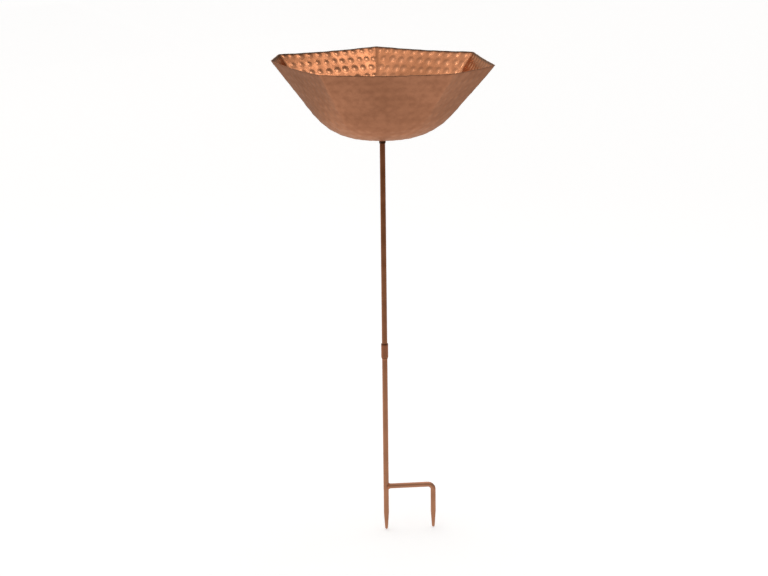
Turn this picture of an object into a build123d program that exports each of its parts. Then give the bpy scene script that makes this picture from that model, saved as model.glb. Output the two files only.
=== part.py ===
from build123d import *
import math
import os

# Bird feeder: a seven-sided hammered sheet bowl bolted to the top of a two-part rod pole.
# The lower rod carries the socket for the upper rod and a welded step prong, and is pushed
# into the ground. All sizes are in millimetres.
# Frame: origin on the pole's axis at the ground line, +Z up the pole, +X along the step arm.

# Rods
ROD_R = 4.75
SHANK_R = 4.55
SHANK_BLEND = 1.0
PRONG_R = 4.5
END_CHAMFER = 0.5

# Ground tines, measured down from the ground line
TINE_DEPTH = 75.0
TAPER_LENGTH = 31.0
POINT_LENGTH = 17.0
TIP_R = 2.6
SHOULDER_SHARE = 0.8

# Step prong
PRONG_X = 86.0
ARM_Z = 7.0
BEND_R = 10.0
WELD_R = 6.2
WELD_START = 2.0
WELD_END = 8.5

# Socket between the two rods
FERRULE_Z = 248.0
FERRULE_LENGTH = 27.5
FERRULE_R = 6.2
SOCKET_DEPTH = 20.0
RUNNING_CLEARANCE = 0.05
FERRULE_TAPER = 3.0
FERRULE_TAPER_R = 1.0
BRAZE_LENGTH = 1.8
BRAZE_R = 5.1
SEAT_GAP = 0.2

# Fasteners, M6
POLE_TOP_Z = 637.4
STUD_R = 3.0
STUD_DEPTH = 15.0
STUD_CHAMFER = 0.6
NUT_FLATS = 10.0
NUT_HEIGHT = 5.0
NUT_CHAMFER = 0.5
LOWER_WASHER_R = 9.0
LOWER_WASHER_T = 1.6
SEAL_R = 9.0
SEAL_T = 1.5
INNER_WASHER_R = 9.0
INNER_WASHER_T = 1.2
WASHER_HOLE_R = 3.2
WASHER_CHAMFER = 0.25
CAP_HEX_HEIGHT = 5.5
CAP_DOME_R = 4.6
CAP_HEIGHT = 12.0
CAP_BORE_DEPTH = 9.0
STUD_IN_CAP = 7.5
FACE_GAP = 0.1

# Bowl: corners of the rim as (angle from +X in degrees, radius), counter-clockwise from above
RIM_CORNERS = [
    (28.5, 198.0),
    (86.5, 204.0),
    (144.0, 211.0),
    (169.0, 193.0),
    (233.5, 199.0),
    (298.5, 208.0),
    (334.0, 205.0),
]
BOWL_DEPTH = 132.0
BOWL_REFERENCE_R = 203.0
WALL_SLOPE = 0.755
FLOOR_ARC_R = 124.0
ROUND_DEPTH = 153.0
ROUND_CORNER_R = 190.0
SHEET_RISE = 1.5
ARC_STEPS = 6
STUD_HOLE_R = 3.5

# Heights worked out from the stack on the pole's top
TINE_TAPER_Z = TAPER_LENGTH - TINE_DEPTH
TINE_POINT_Z = POINT_LENGTH - TINE_DEPTH
SOCKET_FLOOR_Z = FERRULE_Z + FERRULE_LENGTH - SOCKET_DEPTH
LOWER_WASHER_Z = POLE_TOP_Z + 2 * NUT_HEIGHT
BOWL_Z = LOWER_WASHER_Z + LOWER_WASHER_T + FACE_GAP
RIM_Z = BOWL_Z + BOWL_DEPTH
SEAL_Z = BOWL_Z + SHEET_RISE + FACE_GAP
INNER_WASHER_Z = SEAL_Z + SEAL_T
CAP_Z = INNER_WASHER_Z + INNER_WASHER_T + FACE_GAP


def turned(profile):
    """Solid of revolution about Z from (radius, height) points joined by straight lines."""
    outline = Polyline(*profile, close=True)
    face = make_face(Plane.XZ * outline)
    return revolve(face, axis=Axis.Z)


def tube(inner_r, outer_r, z, height):
    return turned([(inner_r, z), (outer_r, z), (outer_r, z + height), (inner_r, z + height)])


def tine(rod_r, top_z):
    """Round rod with a two-stage taper and a blunt rounded tip, its axis on Z."""
    tip_z = -TINE_DEPTH
    shoulder_r = rod_r * SHOULDER_SHARE
    side = Polyline(
        (TIP_R, tip_z + TIP_R),
        (shoulder_r, TINE_POINT_Z),
        (rod_r, TINE_TAPER_Z),
        (rod_r, top_z),
        (0, top_z),
        (0, tip_z),
    )
    nose = TangentArc((0, tip_z), (TIP_R, tip_z + TIP_R), tangent=(1, 0))
    return revolve(make_face(Plane.XZ * Curve([side, nose])), axis=Axis.Z)


def lower_pole():
    """Pointed lower rod: shank below the ground line, full-size rod above it."""
    upper = turned(
        [
            (0, 0),
            (SHANK_R, 0),
            (ROD_R, SHANK_BLEND),
            (ROD_R, SOCKET_FLOOR_Z),
            (0, SOCKET_FLOOR_Z),
        ]
    )
    return tine(SHANK_R, 0) + upper


def step_prong():
    """One bent rod: level arm from the pole, quarter bend, and a pointed tine."""
    join_z = TINE_TAPER_Z / 2
    route = FilletPolyline(
        (0, 0, ARM_Z), (PRONG_X, 0, ARM_Z), (PRONG_X, 0, join_z), radius=BEND_R
    )
    start = Plane(origin=(0, 0, ARM_Z), z_dir=(1, 0, 0))
    rod = sweep(start * Circle(PRONG_R), path=route)
    point = Pos(PRONG_X, 0, 0) * tine(PRONG_R, join_z)
    pole = Cylinder(ROD_R, 4 * (ARM_Z + PRONG_R))
    return rod + point - pole


def prong_weld():
    """Fillet bead round the arm where it meets the pole."""
    bead = Polyline(
        (WELD_START, PRONG_R),
        (WELD_START, WELD_R),
        (ROD_R, WELD_R),
        (WELD_END, PRONG_R),
        close=True,
    )
    ring = revolve(make_face(Plane.XZ * bead), axis=Axis.X)
    pole = Cylinder(ROD_R, 4 * WELD_R)
    return Pos(0, 0, ARM_Z) * (ring - pole)


def ferrule():
    """Sleeve round both rod ends, tapered at its lower end."""
    bore_r = ROD_R + RUNNING_CLEARANCE
    return turned(
        [
            (bore_r, FERRULE_Z),
            (FERRULE_R - FERRULE_TAPER_R, FERRULE_Z),
            (FERRULE_R, FERRULE_Z + FERRULE_TAPER),
            (FERRULE_R, FERRULE_Z + FERRULE_LENGTH),
            (bore_r, FERRULE_Z + FERRULE_LENGTH),
        ]
    )


def ferrule_braze():
    """Ring of braze below the sleeve, on the lower rod."""
    return turned([(ROD_R, FERRULE_Z - BRAZE_LENGTH), (BRAZE_R, FERRULE_Z), (ROD_R, FERRULE_Z)])


def upper_pole():
    """Plain rod that drops into the sleeve, tapped at its top for the stud."""
    bottom_z = SOCKET_FLOOR_Z + SEAT_GAP
    thread_floor_z = POLE_TOP_Z - STUD_DEPTH
    return turned(
        [
            (0, bottom_z),
            (ROD_R - END_CHAMFER, bottom_z),
            (ROD_R, bottom_z + END_CHAMFER),
            (ROD_R, POLE_TOP_Z),
            (STUD_R, POLE_TOP_Z),
            (STUD_R, thread_floor_z),
            (0, thread_floor_z),
        ]
    )


def stud():
    """Threaded rod from the pole's top up through the bowl into the cap nut."""
    bottom_z = POLE_TOP_Z - STUD_DEPTH
    top_z = CAP_Z + STUD_IN_CAP
    return turned(
        [
            (0, bottom_z),
            (STUD_R - STUD_CHAMFER, bottom_z),
            (STUD_R, bottom_z + STUD_CHAMFER),
            (STUD_R, top_z - STUD_CHAMFER),
            (STUD_R - STUD_CHAMFER, top_z),
            (0, top_z),
        ]
    )


def hexagon(z, height):
    """Hexagonal prism with its corners turned off at both ends."""
    corner_r = NUT_FLATS / 2 / math.cos(math.radians(30))
    prism = extrude(RegularPolygon(NUT_FLATS / 2, 6, major_radius=False), height)
    blank = turned(
        [
            (0, 0),
            (corner_r - NUT_CHAMFER, 0),
            (corner_r, NUT_CHAMFER),
            (corner_r, height - NUT_CHAMFER),
            (corner_r - NUT_CHAMFER, height),
            (0, height),
        ]
    )
    return Pos(0, 0, z) * (prism & blank)


def hex_nut(z):
    bore = tube(0, STUD_R + RUNNING_CLEARANCE, z, NUT_HEIGHT)
    return hexagon(z, NUT_HEIGHT) - bore


def cap_nut():
    """Domed nut with a blind thread."""
    dome_z = CAP_Z + CAP_HEIGHT - CAP_DOME_R
    neck = tube(0, CAP_DOME_R, CAP_Z + CAP_HEX_HEIGHT, dome_z - CAP_Z - CAP_HEX_HEIGHT)
    dome = Pos(0, 0, dome_z) * Sphere(CAP_DOME_R)
    bore = tube(0, STUD_R + RUNNING_CLEARANCE, CAP_Z, CAP_BORE_DEPTH)
    return hexagon(CAP_Z, CAP_HEX_HEIGHT) + neck + dome - bore


def washer(outer_r, z, thickness):
    """Flat washer with a broken outer edge."""
    return turned(
        [
            (WASHER_HOLE_R, z),
            (outer_r - WASHER_CHAMFER, z),
            (outer_r, z + WASHER_CHAMFER),
            (outer_r, z + thickness - WASHER_CHAMFER),
            (outer_r - WASHER_CHAMFER, z + thickness),
            (WASHER_HOLE_R, z + thickness),
        ]
    )


def wall_depths():
    """Depths of the bowl's sections: the rim, the end of the straight wall, and the floor arc."""
    start = math.pi / 2 - math.atan(WALL_SLOPE)
    arc_centre = BOWL_DEPTH - FLOOR_ARC_R
    angles = [start * (1 - step / ARC_STEPS) for step in range(ARC_STEPS + 1)]
    return [0.0] + [arc_centre + FLOOR_ARC_R * math.cos(angle) for angle in angles]


def wall_scale(depth):
    """Share of the rim's size at a depth: a straight wall, then an arc tangent to the floor."""
    wall_angle = math.atan(WALL_SLOPE)
    arc_centre = BOWL_DEPTH - FLOOR_ARC_R
    if depth <= arc_centre + FLOOR_ARC_R * math.sin(wall_angle):
        return 1 - WALL_SLOPE * depth / BOWL_REFERENCE_R
    centre_r = BOWL_REFERENCE_R - WALL_SLOPE * arc_centre - FLOOR_ARC_R / math.cos(wall_angle)
    rise = min(1.0, (depth - arc_centre) / FLOOR_ARC_R)
    return (centre_r + FLOOR_ARC_R * math.sqrt(1 - rise * rise)) / BOWL_REFERENCE_R


def bowl_section(depth):
    """Seven-sided outline whose corners become even towards the floor."""
    share = depth / ROUND_DEPTH
    even = share * share * (3 - 2 * share)
    points = []
    for angle, rim_r in RIM_CORNERS:
        r = wall_scale(depth) * ((1 - even) * rim_r + even * ROUND_CORNER_R)
        turn = math.radians(angle)
        points.append(Vector(r * math.cos(turn), r * math.sin(turn), RIM_Z - depth))
    return Face(Wire.make_polygon(points, close=True))


def bowl_shell():
    """Sheet bowl: the outer form less the same form raised by the sheet's height."""
    form = loft([bowl_section(depth) for depth in wall_depths()], ruled=True)
    hole = tube(0, STUD_HOLE_R, BOWL_Z - SHEET_RISE, 4 * SHEET_RISE)
    return form - Pos(0, 0, SHEET_RISE) * form - hole


PARTS = {
    "lower_pole": lower_pole,
    "step_prong": step_prong,
    "prong_weld": prong_weld,
    "ferrule": ferrule,
    "ferrule_braze": ferrule_braze,
    "upper_pole": upper_pole,
    "stud": stud,
    "lock_nut": lambda: hex_nut(POLE_TOP_Z),
    "seat_nut": lambda: hex_nut(POLE_TOP_Z + NUT_HEIGHT),
    "lower_washer": lambda: washer(LOWER_WASHER_R, LOWER_WASHER_Z, LOWER_WASHER_T),
    "bowl_shell": bowl_shell,
    "seal_washer": lambda: washer(SEAL_R, SEAL_Z, SEAL_T),
    "inner_washer": lambda: washer(INNER_WASHER_R, INNER_WASHER_Z, INNER_WASHER_T),
    "cap_nut": cap_nut,
}

os.makedirs("parts", exist_ok=True)
for node, make in PARTS.items():
    solid = make()
    solid.label = node
    export_step(solid, f"parts/{node}.step")
    print(node, round(solid.volume), [round(v, 1) for v in solid.bounding_box().min],
          [round(v, 1) for v in solid.bounding_box().max])
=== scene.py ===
import math

import bpy
import numpy as np
from mathutils import Matrix, Vector

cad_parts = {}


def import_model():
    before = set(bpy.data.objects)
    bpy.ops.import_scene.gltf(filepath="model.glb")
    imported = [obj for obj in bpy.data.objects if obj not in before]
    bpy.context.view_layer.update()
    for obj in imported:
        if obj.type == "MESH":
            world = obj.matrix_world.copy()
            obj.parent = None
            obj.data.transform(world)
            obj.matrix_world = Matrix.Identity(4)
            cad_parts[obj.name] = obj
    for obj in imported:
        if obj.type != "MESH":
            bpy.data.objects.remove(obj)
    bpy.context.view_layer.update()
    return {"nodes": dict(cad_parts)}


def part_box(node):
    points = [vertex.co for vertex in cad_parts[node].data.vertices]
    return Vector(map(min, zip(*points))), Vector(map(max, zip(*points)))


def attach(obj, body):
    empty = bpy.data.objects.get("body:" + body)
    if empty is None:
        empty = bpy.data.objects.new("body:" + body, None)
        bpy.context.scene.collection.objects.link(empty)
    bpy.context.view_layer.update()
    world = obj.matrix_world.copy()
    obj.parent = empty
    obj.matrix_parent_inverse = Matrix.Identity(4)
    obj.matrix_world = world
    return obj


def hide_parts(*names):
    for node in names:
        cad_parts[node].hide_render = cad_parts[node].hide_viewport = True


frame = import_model()

# Lengths are in metres, in the frame's own axes: origin at the ground line on the pole.
BOWL_LOW, BOWL_HIGH = (Vector(corner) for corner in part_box("bowl_shell"))
POLE_LOW = Vector(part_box("lower_pole")[0])
RIM_Z = BOWL_HIGH.z
BOWL_DEPTH = BOWL_HIGH.z - BOWL_LOW.z
FULL_TURN = 2 * math.pi

# The bowl's form, as in the CAD model: corners as (degrees, radius), wall slope and floor arc
RIM_CORNERS = [
    (28.5, 0.198),
    (86.5, 0.204),
    (144.0, 0.211),
    (169.0, 0.193),
    (233.5, 0.199),
    (298.5, 0.208),
    (334.0, 0.205),
]
REFERENCE_R = 0.203
WALL_SLOPE = 0.755
FLOOR_ARC_R = 0.124
ROUND_DEPTH = 0.153
ROUND_R = 0.181
SHEET_RISE = 0.0015
STUD_HOLE_R = 0.0035
RIM_SHARPNESS = 150.0
FLOOR_SHARPNESS = 60.0
PANEL_BOW = 0.0008
PANEL_SAG = 0.0022
SAG_FADE = 0.05
WIDE_PANEL = 1.1

# The bowl's mesh
AROUND = 700
DOWN = 136
ANGLE_SAMPLES = 7201
DEPTH_SAMPLES = 4001
DEPTH_POWER = 0.8
TINY = 1e-12

# The bowl's lip: cut by hand, so it waves a little, with each wave as (count, phase)
LIP_WAVES = ((23, 1.0), (41, 2.2))
LIP_WAVE_HEIGHT = 0.00012
LIP_DROP = 0.0003
LIP_WAVE_FADE = 0.02
LIP_MARK_FADE = 0.005
# How far below the lip the painted shade line inside the bowl fades out
RIM_SHADE_REACH = 0.0034

# Hammer marks: their rows, their shape, and how unevenly the hand places them
ROW_PITCH = 0.0183
FIRST_ROW = 0.0060
DENT_PITCH = 0.0172
DENT_R = 0.0068
DENT_DEPTH = 0.0008
DENT_REACH = 1.3
DISH_POWER = 1.5
OUTSIDE_SHARE = 0.6
HAMMER_SEED = 7
ROW_STAGGER = 0.25
ALONG_SPREAD = 0.05
ALONG_LOW, ALONG_HIGH = 0.04, 0.96
SLANT_SPREAD = 0.0007
DENT_SIZES = (0.82, 1.12)
PLAIN_FLOOR_R = 0.014
PLAIN_FLOOR_FADE = 0.004

# The stud's thread
THREAD_PITCH = 0.001
THREAD_DEPTH = 0.0006
THREAD_PLAY = 0.00005
THREAD_AROUND = 28
THREAD_STEPS = 8
THREAD_CREST = 1.15
THREAD_FLANK = 2.6

# Weld and braze beads
BEAD_AROUND = 72
BEAD_STEPS = 14
BEAD_LUMP = 0.00022
BEAD_SUNK = 0.0004
ARM_R = 0.0045
WELD_RIPPLES = 11
WELD_RIPPLE_DRIFT = 1.5
WELD_LUMPS = 3
WELD_LUMP_PHASE = 0.6
WELD_LUMP_SHARE = 0.8
WELD_DIP = 1.4
WELD_FILLET_POWER = 1.5
WELD_OVERLAP = 0.0002
BRAZE_WAVES = ((0.3, 5, 0.4), (0.2, 13, 0.0))
BRAZE_MEAN = 0.5
BRAZE_DROOP = 0.45
BRAZE_FILLET_POWER = 0.7

# Finishes, with colours in linear RGB
SHEET_INSIDE = dict(
    dark=(0.34, 0.135, 0.062), light=(0.43, 0.175, 0.085), burnish=(0.50, 0.22, 0.115),
    patina=(0.28, 0.105, 0.05), edge=(0.8, 0.65, 0.55), rough=0.20, rim_shade_share=1.0,
)
SHEET_OUTSIDE = dict(
    dark=(0.36, 0.155, 0.083), light=(0.44, 0.195, 0.108), burnish=(0.40, 0.173, 0.094),
    patina=(0.33, 0.14, 0.075), edge=(0.86, 0.75, 0.67), rough=0.36, rim_shade_share=0.0,
)
# Painted shade: the near-black tone of the line along the inside of the lip
RIM_SHADE_TONE = (0.05, 0.028, 0.018)
PATINA_SHARE = 0.35
BURNISH_SHARE = 0.55
MOTTLE_ROUGHNESS = 0.10
FINE_ROUGHNESS = 0.08
DENT_ROUGHNESS = -0.06

# The rods' and the socket's dust share also paints the pale floor's reflection near the ground
ROD = dict(dark=(0.36, 0.128, 0.052), light=(0.48, 0.185, 0.085), rough=0.34, dust_and_sheen=0.36)
SOCKET = dict(dark=(0.36, 0.125, 0.058), light=(0.46, 0.17, 0.085), rough=0.36, dust_and_sheen=0.2)
# Fasteners: the rods' copper plating made much darker, painted shade as under the bowl; the cap nut
# and washer inside the bowl share it
SHADED_FASTENER = dict(dark=(0.11, 0.045, 0.022), light=(0.19, 0.08, 0.042), rough=0.3)
WELD = dict(dark=(0.44, 0.17, 0.085), light=(0.62, 0.27, 0.15), rough=0.38)
DRAWN_ALONG_Z = (1.0, 1.0, 0.04)
DRAWN_ALONG_X = (0.04, 1.0, 1.0)
NOT_DRAWN = (1.0, 1.0, 1.0)
ROD_EDGE = (0.75, 0.6, 0.5)
# Lighter and paler towards the ground: partly dust, partly a painted reflection of the pale floor
DUST_AND_SHEEN = (0.55, 0.34, 0.24)
DUST_AND_SHEEN_HEIGHTS = (-0.02, 0.62)
# Dark rings at the socket's ends: painted shade at its mouth, round the upper pole; a darker brazed
# joint at its foot
SHADE_AND_JOINT = (0.10, 0.035, 0.016)
SHADE_AND_JOINT_REACH = 0.0035
SHADE_AND_JOINT_SHARE = 0.85
SPECK_DARKNESS = 0.45
SPECK_DEPTH = -0.8
DRAWN_ROUGHNESS = 0.22
RUBBER_TONES = ((0.018, 0.017, 0.016), (0.045, 0.043, 0.04))
RUBBER_ROUGHNESS = 0.75

# The stage. Each card shade is (distance from, distance to, share there, share beyond).
FLOOR_Z = POLE_LOW.z - 0.0005
STAGE_HALF = 30.0
STAGE_ROUGHNESS = 0.9
FLOOR_TONE = (0.90, 0.90, 0.90)
FLOOR_GLOW = 0.25
CARD_Z = FLOOR_Z + 0.002
CARD_TONE = (1.27, 1.23, 1.18)
CARD_AXIS = (-0.20, -0.98, 0.0)
CARD_FADE_PER_M = 0.57
CARD_BESIDE = (0.4, 1.6, 1.0, 0.56)
# This shade dims the card near the pole: a painted shadow of the bowl on the floor, as the metal
# reflects it
CARD_SHADOW_UNDER = (0.0, 0.6, 0.68, 1.0)
CARD_BEYOND = (1.2, 3.5, 1.0, 0.40)
CARD_RIGHT = (0.0, 0.7, 1.0, 0.84)
SKY_LOW = (0.26, 0.26, 0.26)
SKY_HIGH = (1.0, 0.99, 0.98)
SKY_STRENGTH = 1.2
SKY_AXIS = (-0.25, 0.35, 0.90)
SKY_RANGE = (0.22, 0.90)

# Lamps around the bowl's far corner: (name, direction, size, power)
LAMP_DISTANCE = 0.6
LAMP_COLOUR = (1.0, 0.97, 0.93)
LAMPS = (
    ("key_lamp", (0.56, -0.185, 0.78), 0.16, 0.33),
    ("fill_lamp", (-0.56, -0.12, 0.80), 0.12, 0.07),
    ("glint_lamp", (-0.42, 0.12, 0.89), 0.06, 0.16),
)

# The camera, with angles in degrees and the lens and sensor in millimetres
CAMERA_TURN = -6.0
CAMERA_PITCH = 14.033
CAMERA_ROLL = -0.62
CAMERA_DISTANCE = 3.41
CAMERA_ABOVE_RIM = 0.449
CAMERA_LENS = 93.05
CAMERA_SENSOR = 36.0
CAMERA_REACH = 100.0


# ---------------------------------------------------------------- node helpers
def new_material(name):
    material = bpy.data.materials.new(name)
    material.use_nodes = True
    tree = material.node_tree
    return material, tree, tree.nodes["Principled BSDF"]


def add(tree, kind, **inputs):
    node = tree.nodes.new(kind)
    for key, value in inputs.items():
        node.inputs[key].default_value = value
    return node


def set_inputs(bsdf, **values):
    """Sets constant inputs, with underscores for the spaces in their names."""
    for key, value in values.items():
        bsdf.inputs[key.replace("_", " ")].default_value = value


def object_coords(tree):
    return tree.nodes.new("ShaderNodeTexCoord").outputs["Object"]


def attribute(tree, name):
    node = tree.nodes.new("ShaderNodeAttribute")
    node.attribute_name = name
    return node.outputs["Fac"]


def noise(tree, coords, scale, detail=3.0, roughness=0.5, stretch=None):
    """Noise texture on the piece's own coordinates, optionally stretched."""
    source = coords
    if stretch:
        mapping = add(tree, "ShaderNodeMapping", Scale=stretch)
        tree.links.new(coords, mapping.inputs["Vector"])
        source = mapping.outputs["Vector"]
    node = add(tree, "ShaderNodeTexNoise", Scale=scale, Detail=detail, Roughness=roughness)
    tree.links.new(source, node.inputs["Vector"])
    return node.outputs["Fac"]


def remap(tree, value, low, high, to_low=0.0, to_high=1.0):
    node = tree.nodes.new("ShaderNodeMapRange")
    node.interpolation_type = "SMOOTHSTEP"
    for index, number in enumerate((low, high, to_low, to_high), start=1):
        node.inputs[index].default_value = number
    tree.links.new(value, node.inputs[0])
    return node.outputs[0]


def math_node(tree, operation, a, b):
    node = tree.nodes.new("ShaderNodeMath")
    node.operation = operation
    for index, value in enumerate((a, b)):
        if isinstance(value, (int, float)):
            node.inputs[index].default_value = value
        else:
            tree.links.new(value, node.inputs[index])
    return node.outputs[0]


def times(tree, a, b):
    return math_node(tree, "MULTIPLY", a, b)


def plus(tree, a, b):
    return math_node(tree, "ADD", a, b)


def along(tree, coords, axis):
    """How far the coordinates lie along an axis."""
    node = tree.nodes.new("ShaderNodeVectorMath")
    node.operation = "DOT_PRODUCT"
    node.inputs[1].default_value = axis
    tree.links.new(coords, node.inputs[0])
    return node.outputs["Value"]


def length(tree, coords):
    """How far the coordinates lie from the origin."""
    node = tree.nodes.new("ShaderNodeVectorMath")
    node.operation = "LENGTH"
    tree.links.new(coords, node.inputs[0])
    return node.outputs["Value"]


def mix(tree, factor, a, b):
    """Colour mix, where a and b are colours or sockets."""
    node = tree.nodes.new("ShaderNodeMix")
    node.data_type = "RGBA"
    tree.links.new(factor, node.inputs["Factor"])
    for socket, value in ((node.inputs[6], a), (node.inputs[7], b)):
        if isinstance(value, tuple):
            socket.default_value = (*value, 1.0)
        else:
            tree.links.new(value, socket)
    return node.outputs[2]


def bump(tree, bsdf, height, strength, distance):
    node = add(tree, "ShaderNodeBump", Strength=strength, Distance=distance)
    tree.links.new(height, node.inputs["Height"])
    tree.links.new(node.outputs["Normal"], bsdf.inputs["Normal"])


# ---------------------------------------------------------------- materials
def copper_sheet(name, dark, light, burnish, patina, edge, rough, rim_shade_share):
    """Lacquered hammered copper. The mesh's attributes burnish the marks and paint a dark line of
    shade along the lip.
    """
    material, tree, bsdf = new_material(name)
    coords = object_coords(tree)
    dent = attribute(tree, "dent")
    cloud = remap(tree, noise(tree, coords, scale=9.0, detail=4.0), 0.35, 0.65)
    mottle = remap(tree, noise(tree, coords, scale=85.0, detail=5.0, roughness=0.6), 0.35, 0.7)
    fine = noise(tree, coords, scale=900.0, roughness=0.6)
    tone = mix(tree, cloud, dark, light)
    tone = mix(tree, times(tree, mottle, PATINA_SHARE), tone, patina)
    tone = mix(tree, times(tree, dent, BURNISH_SHARE), tone, burnish)
    # Painted shade: a dark line along the lip, full on the inside, none on the outside
    line = remap(tree, attribute(tree, "rim_shade_line"), 0.15, 0.7, to_high=rim_shade_share)
    tone = mix(tree, line, tone, RIM_SHADE_TONE)
    tree.links.new(tone, bsdf.inputs["Base Color"])
    set_inputs(bsdf, Metallic=1.0, Specular_Tint=(*edge, 1), Coat_Weight=0.05,
               Coat_Roughness=0.25)
    grain = plus(tree, times(tree, mottle, MOTTLE_ROUGHNESS), times(tree, fine, FINE_ROUGHNESS))
    total = plus(tree, plus(tree, grain, rough), times(tree, dent, DENT_ROUGHNESS))
    tree.links.new(total, bsdf.inputs["Roughness"])
    bump(tree, bsdf, fine, strength=0.06, distance=0.0004)
    return material


def copper_rod(name, stretch, dark, light, rough, dust_and_sheen=0.0, shade_and_joint_rings=()):
    """Satin copper-coloured plating with faint draw lines along the rod.

    Each ring height passed in gets a dark ring: at the socket's mouth it is painted shade in the
    gap round the upper pole, at its foot it darkens the brazed joint.
    """
    material, tree, bsdf = new_material(name)
    coords = object_coords(tree)
    cloud = remap(tree, noise(tree, coords, scale=22.0, detail=4.0), 0.35, 0.65)
    drawn = noise(tree, coords, scale=700.0, roughness=0.6, stretch=stretch)
    pits = noise(tree, coords, scale=420.0, detail=4.0, roughness=0.65)
    tone = mix(tree, cloud, dark, light)
    height = along(tree, coords, (0.0, 0.0, 1.0))
    # Lighter towards the ground: partly dust, partly a painted reflection of the pale floor
    if dust_and_sheen:
        tone = mix(tree, remap(tree, height, *DUST_AND_SHEEN_HEIGHTS, dust_and_sheen, 0.0), tone, DUST_AND_SHEEN)
    # Painted shade at the socket's mouth, a darker brazed joint at its foot
    for ring in shade_and_joint_rings:
        off = math_node(tree, "ABSOLUTE", math_node(tree, "SUBTRACT", height, ring), 0.0)
        tone = mix(tree, remap(tree, off, 0.0, SHADE_AND_JOINT_REACH, SHADE_AND_JOINT_SHARE, 0.0), tone, SHADE_AND_JOINT)
    specks = remap(tree, pits, 0.58, 0.75, to_high=0.6)
    tone = mix(tree, specks, tone, tuple(SPECK_DARKNESS * channel for channel in dark))
    tree.links.new(tone, bsdf.inputs["Base Color"])
    set_inputs(bsdf, Metallic=1.0, Specular_Tint=(*ROD_EDGE, 1), Coat_Weight=0.03,
               Coat_Roughness=0.3)
    tree.links.new(plus(tree, times(tree, drawn, DRAWN_ROUGHNESS), rough),
                   bsdf.inputs["Roughness"])
    relief = plus(tree, drawn, times(tree, specks, SPECK_DEPTH))
    bump(tree, bsdf, relief, strength=0.12, distance=0.0003)
    return material


def rubber():
    material, tree, bsdf = new_material("seal_rubber")
    dust = remap(tree, noise(tree, object_coords(tree), scale=600.0, detail=4.0), 0.4, 0.7)
    tree.links.new(mix(tree, dust, *RUBBER_TONES), bsdf.inputs["Base Color"])
    set_inputs(bsdf, Roughness=RUBBER_ROUGHNESS)
    bump(tree, bsdf, dust, strength=0.2, distance=0.0002)
    return material


def metals():
    """Materials of the rods, the socket, the fasteners and the beads, by name."""
    socket_low, socket_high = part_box("ferrule")
    # Both ends of the socket get a dark ring: painted shade at the mouth, a darker joint at the
    # brazed foot
    ends = (socket_low[2], socket_high[2])
    return {
        "rod": copper_rod("copper_rod", DRAWN_ALONG_Z, **ROD),
        "bent": copper_rod("copper_bent_rod", DRAWN_ALONG_X, **ROD),
        # Painted shade: the fasteners get a darkened copy of the copper plating
        "fastener": copper_rod("copper_fastener", NOT_DRAWN, **SHADED_FASTENER),
        "socket": copper_rod("copper_socket", DRAWN_ALONG_Z, **SOCKET, shade_and_joint_rings=ends),
        "weld": copper_rod("copper_weld", NOT_DRAWN, **WELD),
    }


# ---------------------------------------------------------------- bowl form
def rim_edges():
    """Direction and distance of each side of the rim's outline from the pole."""
    corners = np.array([(r * math.cos(math.radians(a)), r * math.sin(math.radians(a)))
                        for a, r in RIM_CORNERS])
    side = np.roll(corners, -1, axis=0) - corners
    normal = np.stack([side[:, 1], -side[:, 0]], axis=1)
    normal /= np.linalg.norm(normal, axis=1)[:, None]
    return np.arctan2(normal[:, 1], normal[:, 0]), (normal * corners).sum(axis=1)


def outline_radius(theta, sharpness):
    """Radius of the seven-sided outline with softened corners."""
    direction, distance = rim_edges()
    near = np.maximum(np.cos(theta[..., None] - direction), 0) / distance
    top = near.max(axis=-1)
    total = ((near / top[..., None]) ** sharpness[..., None]).sum(axis=-1)
    return 1 / (top * total ** (1 / sharpness))


def panel_bulge(theta):
    """0 at the corners, rising to about 1 at the middle of a wide side."""
    corners = np.radians([angle for angle, _ in RIM_CORNERS])
    index = np.searchsorted(corners, theta) - 1
    start = corners[index]
    span = (corners[(index + 1) % len(corners)] - start) % FULL_TURN
    share = ((theta - start) % FULL_TURN) / span
    return 4 * share * (1 - share) * (span / WIDE_PANEL) ** 2


def wall_scale(depth):
    """Share of the rim's size at each depth: a straight wall, then an arc to the floor."""
    wall_angle = math.atan(WALL_SLOPE)
    arc_centre = BOWL_DEPTH - FLOOR_ARC_R
    centre_r = REFERENCE_R - WALL_SLOPE * arc_centre - FLOOR_ARC_R / math.cos(wall_angle)
    rise = np.clip((depth - arc_centre) / FLOOR_ARC_R, 0, 1)
    arc = centre_r + FLOOR_ARC_R * np.sqrt(1 - rise * rise)
    straight = REFERENCE_R - WALL_SLOPE * depth
    wall_end = arc_centre + FLOOR_ARC_R * math.sin(wall_angle)
    return np.where(depth <= wall_end, straight, arc) / REFERENCE_R


def bowl_radius(theta, depth):
    """Radius at each angle and depth: seven-sided at the rim, rounder further down."""
    share = depth / ROUND_DEPTH
    even = share * share * (3 - 2 * share)
    down = np.clip(depth / BOWL_DEPTH, 0, 1)
    outline = outline_radius(theta, RIM_SHARPNESS + (FLOOR_SHARPNESS - RIM_SHARPNESS) * down)
    bow = PANEL_BOW * panel_bulge(theta) * (1 - down)
    return wall_scale(depth) * ((1 - even) * outline + even * ROUND_R) + bow


def slant_table():
    """Depths down to the floor's edge, finely sampled, and each one's slant distance."""
    depth = np.linspace(0, 1, DEPTH_SAMPLES) ** DEPTH_POWER * BOWL_DEPTH
    r = wall_scale(depth) * REFERENCE_R
    steps = np.hypot(np.diff(depth), np.diff(r))
    return depth, np.concatenate([[0], np.cumsum(steps)])


def floor_span():
    """Width of the flat floor from its edge to the stud hole."""
    return float(wall_scale(np.array(BOWL_DEPTH))) * ROUND_R - STUD_HOLE_R


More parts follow.
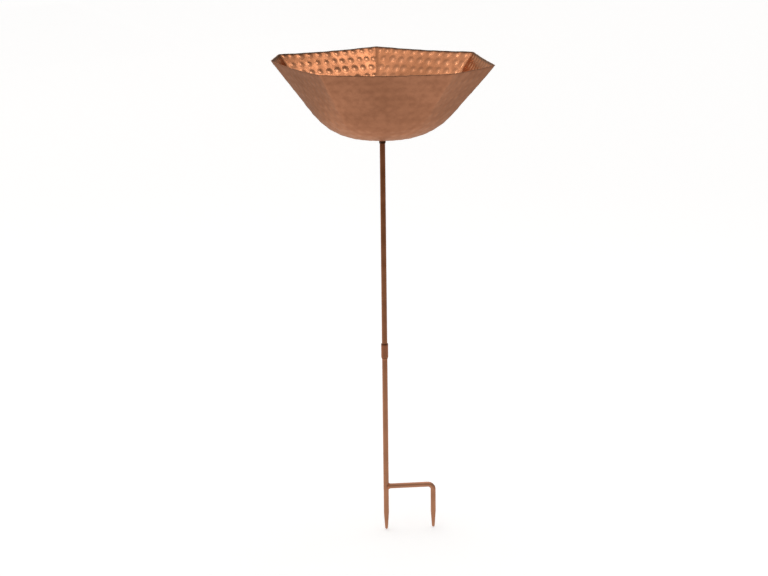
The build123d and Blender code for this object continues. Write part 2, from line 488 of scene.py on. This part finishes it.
def even_angles():
    """Angles that space the rim's points evenly along its sides."""
    theta = np.linspace(0, FULL_TURN, ANGLE_SAMPLES)
    r = outline_radius(theta, np.full_like(theta, RIM_SHARPNESS))
    steps = np.hypot(np.diff(r * np.cos(theta)), np.diff(r * np.sin(theta)))
    reached = np.concatenate([[0], np.cumsum(steps)])
    return np.interp(np.arange(AROUND) / AROUND * reached[-1], reached, theta)


def surface(theta, slant, rise):
    """Points of the bowl's surface on a grid of angles and slant distances from the rim."""
    depth_of, slant_of = slant_table()
    floor_r = bowl_radius(theta[None, :], np.full((1, 1), BOWL_DEPTH))
    depth = np.interp(slant, slant_of, depth_of)[:, None] * np.ones_like(theta)[None, :]
    r = bowl_radius(np.broadcast_to(theta, depth.shape), depth)
    on_floor = np.clip((slant - slant_of[-1])[:, None], 0, None)
    inwards = floor_r + (STUD_HOLE_R - floor_r) * on_floor / floor_span()
    r = np.where(on_floor > 0, inwards, r)
    sag = PANEL_SAG * panel_bulge(theta)[None, :] * np.exp(-slant / SAG_FADE)[:, None]
    z = RIM_Z - depth + rise - sag
    return np.stack([r * np.cos(theta), r * np.sin(theta), z], axis=-1)


def normals(points):
    """Unit normals of a grid that is closed in its second direction, pointing outwards."""
    across = np.roll(points, -1, axis=1) - np.roll(points, 1, axis=1)
    down = np.gradient(points, axis=0)
    normal = np.cross(down, across)
    return normal / np.maximum(np.linalg.norm(normal, axis=-1, keepdims=True), TINY)


# ---------------------------------------------------------------- hammer marks
def dent_centres(rng):
    """Hammer marks in rows along each side, staggered and slightly uneven: (angle, slant, size)."""
    angles = [math.radians(a) for a, _ in RIM_CORNERS]
    total = slant_table()[1][-1] + floor_span()
    marks = []
    for row in range(int((total - FIRST_ROW) / ROW_PITCH)):
        slant = FIRST_ROW + row * ROW_PITCH
        for index, start in enumerate(angles):
            end = angles[(index + 1) % len(angles)]
            end += FULL_TURN if end < start else 0
            ends = surface(np.array([start, end]), np.array([slant]), 0.0)[0]
            count = max(1, round(float(np.linalg.norm(ends[1] - ends[0])) / DENT_PITCH))
            for k in range(count):
                stagger = ROW_STAGGER * (-1) ** row
                share = (k + 0.5 + stagger + rng.normal(0, ALONG_SPREAD)) / count
                share = min(max(share, ALONG_LOW), ALONG_HIGH)
                centre = ends[0] + (ends[1] - ends[0]) * share
                marks.append((math.atan2(centre[1], centre[0]) % FULL_TURN,
                              slant + rng.normal(0, SLANT_SPREAD), rng.uniform(*DENT_SIZES)))
    return marks


def dent_field(points, slant, marks):
    """How deep each grid point lies in a hammer mark, from 0 to about 1."""
    field = np.zeros(points.shape[:2])
    for angle, at, size in marks:
        reach = DENT_R * size
        rows = np.where(np.abs(slant - at) < DENT_REACH * reach)[0]
        if not len(rows):
            continue
        centre = surface(np.array([angle]), np.array([at]), 0.0)[0, 0]
        far = np.linalg.norm(points[rows] - centre, axis=-1) / reach
        dish = np.clip(1 - far * far, 0, None) ** DISH_POWER * size
        field[rows] = np.maximum(field[rows], dish)
    return field


def mark_field(points, slant):
    """The hammer marks, faded out at the lip and under the washers."""
    field = dent_field(points, slant, dent_centres(np.random.default_rng(HAMMER_SEED)))
    from_pole = np.linalg.norm(points[..., :2], axis=-1)
    field *= np.clip((from_pole - PLAIN_FLOOR_R) / PLAIN_FLOOR_FADE, 0, 1)
    return field * np.clip(slant / LIP_MARK_FADE, 0, 1)[:, None]


# ---------------------------------------------------------------- meshes
def grid_faces(rows, columns, flip):
    """Quads of a grid closed in its second direction."""
    r, c = np.meshgrid(np.arange(rows - 1), np.arange(columns), indexing="ij")
    n = (c + 1) % columns
    quads = np.stack([r * columns + c, r * columns + n, (r + 1) * columns + n,
                      (r + 1) * columns + c], axis=-1).reshape(-1, 4)
    return quads[:, ::-1] if flip else quads


def mesh_object(name, vertices, faces, materials):
    """A smooth-shaded object from an array of points and a list of faces."""
    mesh = bpy.data.meshes.new(name)
    mesh.from_pydata(vertices.tolist(), [], faces)
    for material in materials:
        mesh.materials.append(material)
    mesh.polygons.foreach_set("use_smooth", np.ones(len(mesh.polygons), dtype=bool))
    mesh.update()
    piece = bpy.data.objects.new(name, mesh)
    bpy.context.scene.collection.objects.link(piece)
    return piece


def bowl_faces():
    """Faces of the outer skin, the inner skin, the lip and the hole's edge."""
    column = np.arange(AROUND)
    after = (column + 1) % AROUND
    inner = DOWN * AROUND
    last = (DOWN - 1) * AROUND
    return (
        grid_faces(DOWN, AROUND, True),
        grid_faces(DOWN, AROUND, False) + inner,
        np.stack([column, after, after + inner, column + inner], axis=-1),
        np.stack([last + column, last + column + inner, last + after + inner, last + after],
                 axis=-1),
    )


def bowl_points(theta, slant, field):
    """Points of the outer and the inner skin, hammered, with a wavy lip."""
    lip = float(np.interp(SHEET_RISE, *slant_table()))
    slant_inside = lip + slant * (1 - lip / slant[-1])
    outer = surface(theta, slant, 0.0)
    inner = surface(theta, slant_inside, SHEET_RISE)
    outer = outer + normals(outer) * (field * DENT_DEPTH * OUTSIDE_SHARE)[..., None]
    inner = inner + normals(inner) * (field * DENT_DEPTH)[..., None]
    wave = sum(np.sin(theta * count + phase) for count, phase in LIP_WAVES)[None, :]
    wave = wave * LIP_WAVE_HEIGHT - LIP_DROP
    lift = np.exp(-slant / LIP_WAVE_FADE)[:, None] * wave
    outer[..., 2] += lift
    inner[..., 2] += lift
    return np.concatenate([outer.reshape(-1, 3), inner.reshape(-1, 3)])


def store_on_skins(piece, name, values):
    """Stores one value per grid point as an attribute, the same on both skins."""
    stored = piece.data.attributes.new(name, "FLOAT", "POINT")
    stored.data.foreach_set("value", np.tile(values.reshape(-1), 2).astype(np.float32))


def hammered_bowl(inside, outside):
    """The sheet bowl: an outer and an inner skin, hammered, joined at the lip and the hole."""
    theta = even_angles()
    slant = np.linspace(0, slant_table()[1][-1] + floor_span(), DOWN)
    field = mark_field(surface(theta, slant, 0.0), slant)
    groups = bowl_faces()
    piece = mesh_object("hammered_bowl", bowl_points(theta, slant, field),
                        np.concatenate(groups).tolist(), [inside, outside])
    sizes = [len(group) for group in groups]
    polygons = piece.data.polygons
    polygons.foreach_set("material_index", np.repeat([1, 0, 1, 0], sizes).astype(np.int32))
    polygons.foreach_set("use_smooth", np.repeat([True, True, False, False], sizes))
    store_on_skins(piece, "dent", field)
    # How near each point lies to the lip, which places the painted shade line
    store_on_skins(piece, "rim_shade_line",
                   np.broadcast_to(np.exp(-slant / RIM_SHADE_REACH)[:, None], field.shape))
    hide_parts("bowl_shell")
    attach(piece, "bowl")


# ---------------------------------------------------------------- small turned and welded pieces
def closed_tube(name, rings, material, node, body):
    """A closed mesh through rings of points, with a fan at each end. It stands for a CAD node."""
    count, around = rings.shape[:2]
    ends = np.stack([rings[0].mean(axis=0), rings[-1].mean(axis=0)])
    first, last = count * around, count * around + 1
    base = (count - 1) * around
    fans = []
    for k in range(around):
        n = (k + 1) % around
        fans.append([first, n, k])
        fans.append([last, base + k, base + n])
    piece = mesh_object(name, np.concatenate([rings.reshape(-1, 3), ends]),
                        grid_faces(count, around, False).tolist() + fans, [material])
    piece.data.validate()
    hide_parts(node)
    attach(piece, body)


def turn_and_share():
    """Angles round a bead, and shares of its length, as a row and a column."""
    turn = np.linspace(0, FULL_TURN, BEAD_AROUND, endpoint=False)[None, :]
    return turn, np.linspace(0, 1, BEAD_STEPS)[:, None]


def threaded_stud(material):
    """Stud with a rolled thread, running out at both ends."""
    low, high = (Vector(corner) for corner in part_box("stud"))
    crest = (high.x - low.x) / 2 - THREAD_PLAY
    turn = np.linspace(0, FULL_TURN, THREAD_AROUND, endpoint=False)[None, :]
    z = np.linspace(low.z, high.z, int((high.z - low.z) / THREAD_PITCH * THREAD_STEPS))[:, None]
    phase = (z / THREAD_PITCH - turn / FULL_TURN) % 1.0
    groove = np.clip(THREAD_CREST - THREAD_FLANK * np.abs(phase - 0.5), 0, 1)
    fade = np.clip(np.minimum(z - low.z, high.z - z) / THREAD_PITCH, 0, 1)
    r = crest - THREAD_DEPTH * (1 - groove * fade)
    rings = np.stack([r * np.cos(turn), r * np.sin(turn), z + 0 * turn], axis=-1)
    closed_tube("threaded_stud", rings, material, "stud", "upper_pole")


def weld_bead(material):
    """Lumpy fillet between the pole and the step arm, with the ripples of a hand-run weld."""
    low, high = (Vector(corner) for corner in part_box("prong_weld"))
    pole_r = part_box("lower_pole")[1][0]
    arm_z, foot_r = (low.z + high.z) / 2, (high.z - low.z) / 2
    turn, t = turn_and_share()
    middle = np.sin(math.pi * t)
    ripple = np.sin(WELD_RIPPLES * turn + WELD_RIPPLE_DRIFT * np.sin(2 * turn)) * middle
    lump = np.sin(WELD_LUMPS * turn + WELD_LUMP_PHASE) * middle
    dip = BEAD_LUMP * (WELD_DIP + ripple + WELD_LUMP_SHARE * lump) * t
    r = ARM_R + (foot_r - ARM_R) * (1 - t) ** WELD_FILLET_POWER - dip
    r = np.maximum(r, ARM_R - WELD_OVERLAP)
    side = r * np.cos(turn)
    foot = np.sqrt(np.clip(pole_r ** 2 - side ** 2, 0, None)) - BEAD_SUNK
    foot = np.maximum(foot, low.x)
    x = foot + (high.x - foot) * t
    rings = np.stack([x, side, arm_z + r * np.sin(turn)], axis=-1)
    closed_tube("weld_bead", rings, material, "prong_weld", "stake")


def braze_bead(material):
    """Thin uneven fillet of braze under the socket."""
    low, high = (Vector(corner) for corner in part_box("ferrule_braze"))
    pole_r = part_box("lower_pole")[1][0] - BEAD_SUNK / 4
    turn, t = turn_and_share()
    waves = (size * np.sin(count * turn + phase) for size, count, phase in BRAZE_WAVES)
    droop = sum(waves, start=BRAZE_MEAN)
    reach = np.clip(t - BRAZE_DROOP * droop * (1 - t), 0, 1)
    r = pole_r + (high.x - pole_r) * reach ** BRAZE_FILLET_POWER
    z = low.z + (high.z - low.z) * t + 0 * turn
    rings = np.stack([r * np.cos(turn), r * np.sin(turn), z], axis=-1)
    closed_tube("braze_bead", rings, material, "ferrule_braze", "stake")


# ---------------------------------------------------------------- finishes on the CAD nodes
def dress_cad_nodes(metal, seal):
    """Gives each CAD node that is shown its material."""
    chosen = {
        "upper_pole": metal["rod"],
        "lower_pole": metal["rod"],
        "ferrule": metal["socket"],
        "step_prong": metal["bent"],
        "lock_nut": metal["fastener"],
        "seat_nut": metal["fastener"],
        "lower_washer": metal["fastener"],
        "inner_washer": metal["fastener"],
        "cap_nut": metal["fastener"],
        "seal_washer": seal,
    }
    for node, material in chosen.items():
        for slot in frame["nodes"][node].material_slots:
            slot.material = material


# ---------------------------------------------------------------- stage, lights, camera
def stage_plane(name, z):
    """A wide level plane with a material of its own, which the export leaves out."""
    half = STAGE_HALF
    corners = np.array([(-half, -half, z), (half, -half, z), (half, half, z), (-half, half, z)])
    material, tree, bsdf = new_material(name)
    set_inputs(bsdf, Roughness=STAGE_ROUGHNESS)
    plane = mesh_object(name, corners, [[0, 1, 2, 3]], [material])
    return plane, tree, bsdf


def studio_floor():
    _, _, bsdf = stage_plane("studio_floor", FLOOR_Z)
    set_inputs(bsdf, Base_Color=(*FLOOR_TONE, 1), Emission_Color=(1, 1, 1, 1),
               Emission_Strength=FLOOR_GLOW)


def reflection_card():
    """A card on the floor that only gloss sees: light near the object, dark further away."""
    card, tree, bsdf = stage_plane("reflection_card", CARD_Z)
    set_inputs(bsdf, Base_Color=(0, 0, 0, 1), Specular_IOR_Level=0, Emission_Strength=1.0)
    coords = object_coords(tree)
    ahead = math_node(tree, "MAXIMUM", along(tree, coords, CARD_AXIS), 0.0)
    away = length(tree, coords)
    fade = math_node(tree, "POWER", CARD_FADE_PER_M, ahead)
    # One of these shades dims the card near the pole: a painted shadow of the bowl on the floor in
    # the reflections
    for shade in (CARD_BESIDE, CARD_SHADOW_UNDER, CARD_BEYOND):
        fade = times(tree, fade, remap(tree, away, *shade))
    fade = times(tree, fade, remap(tree, along(tree, coords, (1.0, 0.0, 0.0)), *CARD_RIGHT))
    tree.links.new(mix(tree, fade, (0.0, 0.0, 0.0), CARD_TONE), bsdf.inputs["Emission Color"])
    card.visible_camera = False
    card.visible_diffuse = False
    card.visible_shadow = False


def world():
    """Bright overhead and behind, dimmer towards the horizon and the front."""
    sky = bpy.data.worlds.new("studio")
    sky.use_nodes = True
    tree = sky.node_tree
    coords = tree.nodes.new("ShaderNodeTexCoord").outputs["Generated"]
    up = remap(tree, along(tree, coords, SKY_AXIS), *SKY_RANGE)
    background = tree.nodes["Background"]
    tree.links.new(mix(tree, up, SKY_LOW, SKY_HIGH), background.inputs["Color"])
    background.inputs["Strength"].default_value = SKY_STRENGTH
    bpy.context.scene.world = sky


def area_light(name, place, target, size, power):
    data = bpy.data.lights.new(name, "AREA")
    data.shape = "RECTANGLE"
    data.size = data.size_y = size
    data.energy = power
    data.color = LAMP_COLOUR
    light = bpy.data.objects.new(name, data)
    light.location = place
    light.visible_camera = False
    light.rotation_euler = (target - place).to_track_quat("-Z", "Y").to_euler()
    bpy.context.scene.collection.objects.link(light)


def lights():
    """Small lamps above the bowl's far corner, where the far walls and their dents mirror them."""
    corner = Vector((0, BOWL_HIGH.y, RIM_Z))
    for name, direction, size, power in LAMPS:
        area_light(name, corner + LAMP_DISTANCE * Vector(direction), corner, size, power)


def camera():
    """Camera in front, a little to the left of the step arm's side and above the rim."""
    turn, pitch, roll = map(math.radians, (CAMERA_TURN, CAMERA_PITCH, CAMERA_ROLL))
    place = Vector((CAMERA_DISTANCE * math.sin(turn), -CAMERA_DISTANCE * math.cos(turn),
                    RIM_Z + CAMERA_ABOVE_RIM))
    data = bpy.data.cameras.new("camera")
    data.sensor_width = CAMERA_SENSOR
    data.lens = CAMERA_LENS
    data.clip_end = CAMERA_REACH
    view = bpy.data.objects.new("camera", data)
    look = Matrix.Rotation(turn, 4, "Z") @ Matrix.Rotation(math.pi / 2 - pitch, 4, "X")
    view.matrix_world = Matrix.Translation(place) @ look @ Matrix.Rotation(roll, 4, "Z")
    bpy.context.scene.collection.objects.link(view)
    bpy.context.scene.camera = view


camera()
hammered_bowl(copper_sheet("copper_inside", **SHEET_INSIDE),
              copper_sheet("copper_outside", **SHEET_OUTSIDE))
finishes = metals()
threaded_stud(finishes["fastener"])
weld_bead(finishes["weld"])
braze_bead(finishes["weld"])
dress_cad_nodes(finishes, rubber())
studio_floor()
reflection_card()
world()
lights()
bpy.context.scene.view_settings.view_transform = "Standard"
